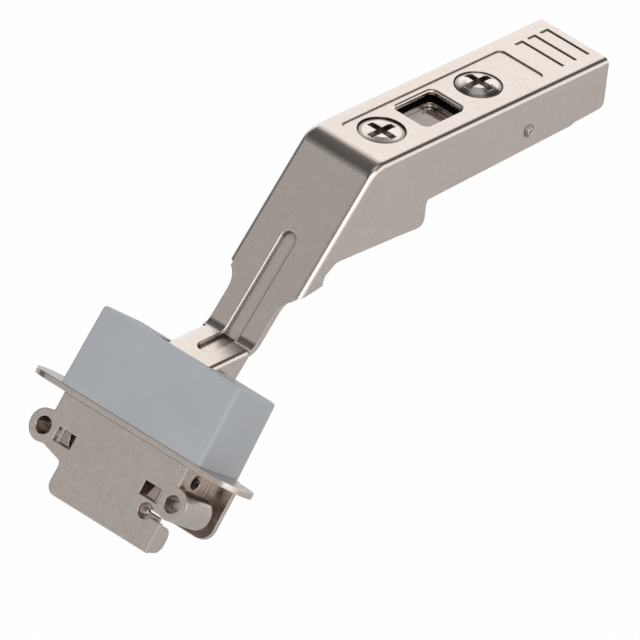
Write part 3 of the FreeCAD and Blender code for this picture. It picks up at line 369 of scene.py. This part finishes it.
def moulded_plastic(name, tint, rough):
    """Satin moulded plastic with a fine spark-eroded texture and edges painted paler as a highlight."""
    material, graph, place = new_finish(name)
    eroded = graph.noise(place, *PLASTIC_ERODED)
    cloud = graph.noise(place, *PLASTIC_CLOUD)
    soft, edge = edge_finish(graph, radius=0.25 * MM)
    base = graph.blend(cloud.ramp(0.3, 0.7), colour(tint, 0.955), colour(tint))
    base = graph.blend((eroded - 0.5) * 0.12, base, colour(tint, 0.8))
    # painted highlight: the colour is paler on the edges
    base = graph.blend(edge * 0.35, base, colour(tint, 1.25))
    roughness = rough + (eroded - 0.5) * 0.10 + (cloud - 0.5) * 0.04
    relief = (0.12, 0.02 * MM, eroded)
    close_finish(graph, base, roughness, relief, soft, metallic=0.0, specular=0.35)
    return material


def dress(node, material):
    """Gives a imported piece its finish; its shape stays as it is."""
    slots = NODES[node].data.materials
    slots.clear()
    slots.append(material)


def middle_of(node):
    """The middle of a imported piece, half its width across, and its lowest and highest level."""
    low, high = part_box(node)
    middle = Vector([(low[k] + high[k]) / 2 for k in range(3)])
    return middle, (high[0] - low[0]) / 2, low[2], high[2]


# Settings a user would change

def tint_setting(name, description, default):
    return bpy.props.FloatVectorProperty(
        name=name, description=description, subtype="COLOR", size=3, min=0.0, max=1.0,
        default=default)


def length_setting(name, description, default):
    return bpy.props.FloatProperty(
        name=name, description=description, subtype="DISTANCE", unit="LENGTH", default=default)


class HingeFinishSettings(bpy.types.PropertyGroup):
    nickel: tint_setting(
        "Nickel", "Colour of the plating on the pressed sheet", (0.560, 0.500, 0.457))
    nickel_dark: tint_setting(
        "Nickel, dull", "Colour of the duller clouds in the plating", (0.520, 0.462, 0.420))
    screw: tint_setting("Screws", "Colour of the bright screws", (0.570, 0.522, 0.476))
    screw_collar: length_setting(
        "Screw collar", "How far the collar under the arm passes the head", 0.85 * MM)
    steel: tint_setting("Pins", "Colour of the pins, rivets and springs", (0.500, 0.460, 0.420))
    cover: tint_setting("Cover", "Colour of the plastic cover over the cup", (0.372, 0.387, 0.408))
    sheet_roughness: bpy.props.FloatProperty(
        name="Sheet roughness", description="Roughness of the plated sheet",
        min=0.05, max=1.0, default=0.24)
    grain: bpy.props.FloatProperty(
        name="Grain", description="How strong the sandy grain of the plating is",
        min=0.0, max=3.0, default=0.4)


class HingeThreadSettings(bpy.types.PropertyGroup):
    pitch: length_setting("Pitch", "Rise of the adjusting screw's thread in a turn", 0.8 * MM)
    depth: length_setting("Depth", "How far the thread stands out of the shank", 0.26 * MM)
    collar_depth: length_setting(
        "Head and collar", "Length of the screw above its shank", 2.1 * MM)
    shank: length_setting(
        "Shank radius", "Radius of the shank that carries the thread", 2.1 * MM)


class HingeRivetSettings(bpy.types.PropertyGroup):
    rim_radius: length_setting(
        "Rim radius", "Radius of the rolled rim on the rivet's end", 0.62 * MM)
    rim_roll: length_setting("Rim roll", "Half the thickness of the rolled rim", 0.24 * MM)


class HingeLeafSettings(bpy.types.PropertyGroup):
    leaf_edge: length_setting(
        "Leaf edge", "From the bracket's middle to a leaf's inner edge", 10.45 * MM)
    leaf_slant: length_setting("Leaf slant", "How far the inner edge leans out", 0.9 * MM)
    leaf_foot: length_setting(
        "Leaf foot", "Height of a leaf's lower end from the screw holes", -1.45 * MM)
    leaf_head: length_setting(
        "Leaf head", "Height of a leaf's upper end from the screw holes", 1.35 * MM)
    wall_inside: length_setting(
        "Wall", "From the bracket's middle to the side wall's face", 12.9 * MM)
    button_radius: length_setting("Button", "Radius of the button in the relief hole", 0.85 * MM)


class HingeStageSettings(bpy.types.PropertyGroup):
    look_at: bpy.props.FloatVectorProperty(
        name="Look at", description="Point at the middle of the picture",
        subtype="TRANSLATION", unit="LENGTH", size=3, default=(0.0176, -0.0611, -0.0169))
    to_camera: bpy.props.FloatVectorProperty(
        name="To camera", description="Direction from the hinge to the camera",
        subtype="DIRECTION", size=3, default=(0.54173, -0.64728, 0.53625))
    picture_right: bpy.props.FloatVectorProperty(
        name="Picture right", description="Direction that runs to the right in the picture",
        subtype="DIRECTION", size=3, default=(0.7178, 0.6883, 0.1056))
    picture_width: length_setting(
        "Picture width", "Width that the picture covers at the hinge", 0.12308)
    lens: bpy.props.FloatProperty(
        name="Lens", description="Focal length in millimetres", default=1200.0)
    lamp_power: bpy.props.FloatProperty(
        name="Lamp power", description="Power of the soft lamp in watts", min=0.0, default=2.4)
    floor_drop: length_setting(
        "Floor drop", "How far the floor lies below the lowest point", 10.0 * MM)
    floor_size: length_setting("Floor size", "Side of the square floor", 6.0)


# Pieces

class HINGE_OT_plated_sheet(bpy.types.Operator):
    """Gives every pressed sheet piece its nickel plating"""
    bl_idname = "hinge.plated_sheet"
    bl_label = "Plated sheet"

    def execute(self, context):
        finish = context.scene.hinge_finish
        for name, (tone, grain, crease_shade_amount, edge_radius, pieces) in SHEET_FINISHES.items():
            # each finish darkens its creases with painted shade, of the strength given in its row
            material = plating(
                name,
                [part * tone for part in finish.nickel],
                [part * tone for part in finish.nickel_dark],
                finish.sheet_roughness,
                finish.grain * grain,
                crease_shade_amount,
                edge_radius,
            )
            for piece in pieces:
                dress(piece, material)
        return {"FINISHED"}


class HINGE_OT_screws(bpy.types.Operator):
    """Gives the two adjusting screws their bright turned finish"""
    bl_idname = "hinge.screws"
    bl_label = "Adjusting screws"

    def execute(self, context):
        finish = context.scene.hinge_finish
        for piece in SCREW_PIECES:
            middle, half_width, _, top = middle_of(piece)
            crown = (middle.x, middle.y, top)
            rim = half_width - finish.screw_collar
            dress(piece, turned_metal(
                piece + " finish", finish.screw, rough=0.16, crown=crown, rim=rim))
        return {"FINISHED"}


class HINGE_OT_pins_and_springs(bpy.types.Operator):
    """Gives the pins, rivets and springs their steel finish"""
    bl_idname = "hinge.pins_and_springs"
    bl_label = "Pins and springs"

    def execute(self, context):
        steel = context.scene.hinge_finish.steel
        for name, tone, rough, pieces in (
            ("pin steel", 1.0, 0.22, PIN_PIECES),
            ("spring wire", 0.85, 0.26, SPRING_PIECES),
            # painted shade: the rivet's steel is darkened to stand in for the shade in its hollow ends
            # and around its heads
            ("rivet steel with painted shade", 0.45, 0.3, (RIVET_PIECE,)),
        ):
            material = drawn_wire(name, [part * tone for part in steel], rough)
            for piece in pieces:
                dress(piece, material)
        return {"FINISHED"}


class HINGE_OT_cover(bpy.types.Operator):
    """Gives the plastic cover over the cup its satin grey"""
    bl_idname = "hinge.cover"
    bl_label = "Cup cover"

    def execute(self, context):
        finish = context.scene.hinge_finish
        dress(COVER_PIECE, moulded_plastic("cover plastic", finish.cover, rough=0.42))
        return {"FINISHED"}


def sized_tree(name, sizes):
    """A new geometry tree with a named input for each size, and its inputs."""
    tree = bpy.data.node_groups.new(name, "GeometryNodeTree")
    tree.interface.new_socket("Geometry", in_out="OUTPUT", socket_type="NodeSocketGeometry")
    for label, value in sizes.items():
        socket = tree.interface.new_socket(label, in_out="INPUT", socket_type="NodeSocketFloat")
        socket.default_value = value
    graph = Graph(tree)
    return graph, graph.node("NodeGroupInput")


def swept(graph, path, sides, radius, caps):
    """A bar along a path, round but for its few sides."""
    profile = graph.node(
        "GeometryNodeCurvePrimitiveCircle", None, {"Resolution": sides, "Radius": radius})
    return graph.node(
        "GeometryNodeCurveToMesh", None,
        {"Curve": path, "Profile Curve": profile["Curve"], "Fill Caps": caps})["Mesh"]


def close_tree(graph, parts, material):
    """Ends a geometry tree: its parts as one real mesh with one material."""
    whole = graph.node("GeometryNodeRealizeInstances")
    if len(parts) == 1:
        joint = whole
    else:
        joint = graph.node("GeometryNodeJoinGeometry")
        graph.tree.links.new(joint["Geometry"].socket, whole.made.inputs["Geometry"])
    for part in parts:
        graph.tree.links.new(part.socket, joint.made.inputs["Geometry"])
    paint = graph.node(
        "GeometryNodeSetMaterial", None, {"Geometry": whole["Geometry"], "Material": material})
    graph.node("NodeGroupOutput", None, {0: paint["Geometry"]})
    return graph.tree


def thread_tree(material):
    """A helix of a low ridge that stands on a shank."""
    graph, given = sized_tree(
        "Thread", {"Radius": 2.0 * MM, "Depth": 0.3 * MM, "Turns": 6.0, "Length": 5.0 * MM})
    helix = graph.node(
        "GeometryNodeCurveSpiral", None,
        {"Resolution": THREAD_STEPS, "Rotations": given["Turns"],
         "Start Radius": given["Radius"], "End Radius": given["Radius"],
         "Height": given["Length"]})
    ridge = swept(graph, helix["Curve"], THREAD_SIDES, given["Depth"], caps=True)
    return close_tree(graph, [ridge], material)


def ring_tree(material):
    """Two rolled rings on one axis, for the ends of a rivet."""
    graph, given = sized_tree(
        "Rivet rims", {"Radius": 0.6 * MM, "Roll": 0.2 * MM, "Half span": 10.0 * MM})
    circle = graph.node(
        "GeometryNodeCurvePrimitiveCircle", None,
        {"Resolution": RIM_STEPS, "Radius": given["Radius"]})
    ring = swept(graph, circle["Curve"], RIM_SIDES, given["Roll"], caps=False)
    quarter_turn = (0.0, math.pi / 2, 0.0)
    turned = graph.node(
        "GeometryNodeTransform", None, {"Geometry": ring, "Rotation": quarter_turn})["Geometry"]
    rims = []
    for side in (1.0, -1.0):
        place = graph.node("ShaderNodeCombineXYZ", None, {"X": given["Half span"] * side})[0]
        rims.append(graph.node(
            "GeometryNodeTransform", None,
            {"Geometry": turned, "Translation": place})["Geometry"])
    return close_tree(graph, rims, material)


def plain_mesh(name, tree, values, place):
    """Runs a node tree once and keeps its result as a plain mesh, with its place in the mesh."""
    holder = bpy.data.objects.new(name, bpy.data.meshes.new(name))
    bpy.context.scene.collection.objects.link(holder)
    modifier = holder.modifiers.new(name, "NODES")
    modifier.node_group = tree
    for item in tree.interface.items_tree:
        if item.in_out == "INPUT" and item.name in values:
            modifier[item.identifier] = values[item.name]
    graph = bpy.context.evaluated_depsgraph_get()
    mesh = bpy.data.meshes.new_from_object(holder.evaluated_get(graph), depsgraph=graph)
    holder.modifiers.clear()
    holder.data = mesh
    mesh.transform(Matrix.Translation(place))
    mesh.name = name
    return holder


class HINGE_OT_screw_thread(bpy.types.Operator):
    """Lays the thread on the shank of the side adjusting screw"""
    bl_idname = "hinge.screw_thread"
    bl_label = "Screw thread"

    def execute(self, context):
        sizes = context.scene.hinge_thread
        middle, _, bottom, top = middle_of(SIDE_SCREW)
        length = top - sizes.collar_depth - bottom - PLAIN_SHANK * sizes.pitch
        values = {
            "Radius": sizes.shank - THREAD_SUNK,
            "Depth": sizes.depth,
            "Turns": length / sizes.pitch,
            "Length": length,
        }
        place = Vector((middle.x, middle.y, bottom + PLAIN_TIP * sizes.pitch))
        material = NODES[SIDE_SCREW].data.materials[0]
        thread = plain_mesh("side_screw_thread", thread_tree(material), values, place)
        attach(thread, "side_screw")
        return {"FINISHED"}


class HINGE_OT_rivet_rims(bpy.types.Operator):
    """Rolls a rim onto each end of the rivet that the arm tilts on"""
    bl_idname = "hinge.rivet_rims"
    bl_label = "Rivet rims"

    def execute(self, context):
        sizes = context.scene.hinge_rivet
        middle, half_width, _, _ = middle_of(RIVET_PIECE)
        values = {
            "Radius": sizes.rim_radius,
            "Roll": sizes.rim_roll,
            "Half span": half_width - RIM_SUNK * sizes.rim_roll,
        }
        bright = drawn_wire("rivet rim steel", context.scene.hinge_finish.steel, rough=0.2)
        rims = plain_mesh("rivet_rims", ring_tree(bright), values, middle)
        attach(rims, "guide")
        return {"FINISHED"}


def bracket_axes():
    """Middle between the bracket's screw holes, and its directions across, inward and up."""
    holes = next(
        mount for mount in frame["record"]["mounts"] if mount["name"] == "frame_screw_holes")
    across = Vector((1.0, 0.0, 0.0))
    inward = -Vector(holes["axis"])
    return Vector(holes["pos_m"]), across, inward, across.cross(inward)


def add_plate(shape, outline, depths):
    """Adds a flat plate; its outline is across and up, and depths are its two faces."""
    middle, across, inward, up = bracket_axes()
    near, far = depths
    corners = [shape.verts.new(middle + across * x + up * z + inward * near) for x, z in outline]
    face = shape.faces.new(corners)
    grown = bmesh.ops.extrude_face_region(shape, geom=[face])["geom"]
    moved = [item for item in grown if isinstance(item, bmesh.types.BMVert)]
    bmesh.ops.translate(shape, vec=inward * (far - near), verts=moved)


def add_button(shape, radius):
    """Adds the low round button that stands out of the slot's leaf towards the front."""
    middle, across, inward, up = bracket_axes()
    x, z = BUTTON_PLACE
    place = Matrix.Translation(middle + across * x + up * z + inward * BUTTON_DEPTH)
    turn = Matrix((across, up, -inward)).transposed().to_4x4()
    squash = Matrix.Diagonal((1.0, 1.0, BUTTON_RISE / radius, 1.0))
    bmesh.ops.create_uvsphere(
        shape, u_segments=24, v_segments=12, radius=radius, matrix=place @ turn @ squash)


class HINGE_OT_inner_leaves(bpy.types.Operator):
    """Sets the sheet leaves that show in the bracket's windows and behind its relief slot"""
    bl_idname = "hinge.inner_leaves"
    bl_label = "Inner leaves"

    def execute(self, context):
        sizes = context.scene.hinge_leaves
        foot, head, wall = sizes.leaf_foot, sizes.leaf_head, sizes.wall_inside
        edge_foot = sizes.leaf_edge
        edge_head = sizes.leaf_edge + sizes.leaf_slant
        shape = bmesh.new()
        for side in (1.0, -1.0):
            outline = [
                (side * edge_foot, foot), (side * wall, foot),
                (side * wall, head), (side * edge_head, head),
            ]
            add_plate(shape, outline, LEAF_DEPTHS)
        add_plate(shape, [(x * MM, z * MM) for x, z in SLOT_LEAF_OUTLINE], SLOT_LEAF_DEPTHS)
        bmesh.ops.recalc_face_normals(shape, faces=shape.faces)
        bmesh.ops.bevel(
            shape, geom=list(shape.edges), offset=LEAF_ROUNDING, segments=2, affect="EDGES")
        add_button(shape, sizes.button_radius)
        mesh = bpy.data.meshes.new("inner_leaves")
        shape.to_mesh(mesh)
        shape.free()
        leaves = bpy.data.objects.new("inner_leaves", mesh)
        context.scene.collection.objects.link(leaves)
        # the leaves' plating darkens their creases with painted shade
        mesh.materials.append(plating(
            "leaf plating", LEAF_TINT, LEAF_TINT, rough=0.30,
            grain=context.scene.hinge_finish.grain, crease_shade_amount=0.5, edge_radius=0.22 * MM))
        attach(leaves, "cup")
        return {"FINISHED"}


# Stage

def soft_lamp(target, power):
    """One large square lamp, high on the right in front of the hinge."""
    data = bpy.data.lights.new("window light", "AREA")
    data.shape = "SQUARE"
    data.size = LAMP_SIDE
    data.energy = power
    lamp = bpy.data.objects.new("window light", data)
    bpy.context.scene.collection.objects.link(lamp)
    lamp.location = target + LAMP_OFFSET
    lamp.rotation_euler = (-LAMP_OFFSET).to_track_quat("-Z", "Y").to_euler()


def pale_floor(settings):
    """A pale paper floor that keeps the hinge's faint shadow and looks nearly white."""
    half = settings.floor_size / 2
    level = CAD_BOX[0][2] - settings.floor_drop
    mesh = bpy.data.meshes.new("floor")
    corners = [(x * half, y * half, level) for x, y in ((-1, -1), (1, -1), (1, 1), (-1, 1))]
    mesh.from_pydata(corners, [], [(0, 1, 2, 3)])
    floor = bpy.data.objects.new("floor", mesh)
    bpy.context.scene.collection.objects.link(floor)
    material, graph, place = new_finish("pale floor")
    cloud = graph.noise(place, *PAPER_CLOUD)
    paper = graph.blend(cloud, (0.80, 0.80, 0.80, 1.0), (0.83, 0.83, 0.83, 1.0))
    matt = graph.node("ShaderNodeBsdfDiffuse", None, {"Color": paper})["BSDF"]
    glow = graph.node("ShaderNodeEmission", None, {"Strength": 1.0})["Emission"]
    shader = graph.mixed_shader(graph.seen() * 0.97, matt, glow)
    graph.node("ShaderNodeOutputMaterial", None, {"Surface": shader})
    mesh.materials.append(material)


def studio_world():
    """White where it is seen; metal sees a studio with pale walls and a dark ceiling."""
    world = bpy.data.worlds.new("studio")
    bpy.context.scene.world = world
    world.use_nodes = True
    graph = Graph(world.node_tree)
    way = graph.node("ShaderNodeTexCoord")["Generated"]
    parts = graph.node("ShaderNodeSeparateXYZ", None, {"Vector": way})
    across, along, up = parts["X"], parts["Y"], parts["Z"]
    leftward = 0.0 - across
    forward = 0.0 - along
    # the dark ceiling comes down a little at the front, and a dark patch hangs from it at the back
    ceiling = (up - along * 0.07).ramp(0.61, 0.73)
    patch = (across * 0.1 + along * 0.65 + up * 0.75).ramp(0.885, 0.95)
    ceiling = ceiling + patch * (1.0 - ceiling)
    # brighter panels
    back_left = (along * 0.8 - across * 0.6).ramp(0.35, 0.85)
    right = across.ramp(0.30, 0.55) * up.ramp(-0.40, -0.05)
    front_left = forward.ramp(0.70, 0.80) * (1.0 - up.ramp(0.12, 0.26)) * leftward.ramp(0.0, 0.4)
    overhead = up.ramp(0.90, 0.97)
    # the dim far left, and the dim gap between the panels at the front right
    left = leftward.ramp(0.62, 0.84) * (1.0 - along.ramp(0.0, 0.4))
    gap = (across * 0.54 - along * 0.67 + up * 0.51).ramp(0.95, 0.99)
    wall = WALL + back_left * BACK_LEFT_PANEL + right * RIGHT_PANEL
    wall = wall + front_left * FRONT_LEFT_PANEL
    wall = wall * (1.0 - left * 0.75) * (1.0 - gap * 0.5)
    level = wall * (1.0 - ceiling) + ceiling * (CEILING + overhead * OVERHEAD_PANEL)
    fill = 0.92 + forward.ramp(-0.2, 0.9) * 0.2
    panels, walls, white = [
        graph.node("ShaderNodeBackground", None, {"Strength": strength})["Background"]
        for strength in (level, fill, 1.0)
    ]
    glossy = graph.node("ShaderNodeLightPath")["Is Glossy Ray"]
    lit = graph.mixed_shader(glossy, walls, panels)
    shader = graph.mixed_shader(graph.seen(), lit, white)
    graph.node("ShaderNodeOutputWorld", None, {"Surface": shader})


class HINGE_OT_stage(bpy.types.Operator):
    """Sets the floor, the soft lamp, the world and the camera"""
    bl_idname = "hinge.stage"
    bl_label = "Stage"

    def execute(self, context):
        settings = context.scene.hinge_stage
        scene = context.scene
        target = Vector(settings.look_at)
        pale_floor(settings)
        studio_world()
        soft_lamp(target, settings.lamp_power)
        toward = Vector(settings.to_camera).normalized()
        right = Vector(settings.picture_right)
        right = (right - toward * right.dot(toward)).normalized()
        up = toward.cross(right)
        data = bpy.data.cameras.new("camera")
        data.lens = settings.lens
        data.sensor_width = SENSOR_WIDTH
        data.clip_start, data.clip_end = CLIP_RANGE
        camera = bpy.data.objects.new("camera", data)
        scene.collection.objects.link(camera)
        distance = settings.picture_width * data.lens / data.sensor_width
        turn = Matrix((right, up, toward)).transposed().to_4x4()
        camera.matrix_world = Matrix.Translation(target + toward * distance) @ turn
        scene.camera = camera
        scene.view_settings.view_transform = "Standard"
        return {"FINISHED"}


class HINGE_PT_sidebar(bpy.types.Panel):
    bl_label = "Cup hinge"
    bl_idname = "HINGE_PT_sidebar"
    bl_space_type = "VIEW_3D"
    bl_region_type = "UI"
    bl_category = "Hinge"

    def draw(self, context):
        for attribute in SETTINGS:
            settings = getattr(context.scene, attribute)
            box = self.layout.box()
            for name in settings.__annotations__:
                box.prop(settings, name)
        for operator in STEPS:
            self.layout.operator(operator.bl_idname)


STEPS = (
    HINGE_OT_plated_sheet, HINGE_OT_screws, HINGE_OT_pins_and_springs, HINGE_OT_cover,
    HINGE_OT_screw_thread, HINGE_OT_rivet_rims, HINGE_OT_inner_leaves, HINGE_OT_stage,
)
SETTINGS = {
    "hinge_finish": HingeFinishSettings,
    "hinge_thread": HingeThreadSettings,
    "hinge_rivet": HingeRivetSettings,
    "hinge_leaves": HingeLeafSettings,
    "hinge_stage": HingeStageSettings,
}


def register():
    for group in SETTINGS.values():
        bpy.utils.register_class(group)
    for name, group in SETTINGS.items():
        setattr(bpy.types.Scene, name, bpy.props.PointerProperty(type=group))
    for step in STEPS:
        bpy.utils.register_class(step)
    bpy.utils.register_class(HINGE_PT_sidebar)


def unregister():
    bpy.utils.unregister_class(HINGE_PT_sidebar)
    for step in reversed(STEPS):
        bpy.utils.unregister_class(step)
    for name in SETTINGS:
        delattr(bpy.types.Scene, name)
    for group in SETTINGS.values():
        bpy.utils.unregister_class(group)


def main():
    register()
    for step in STEPS:
        group, name = step.bl_idname.split(".")
        getattr(getattr(bpy.ops, group), name)()
    bpy.context.view_layer.update()


if __name__ == "__main__":
    main()
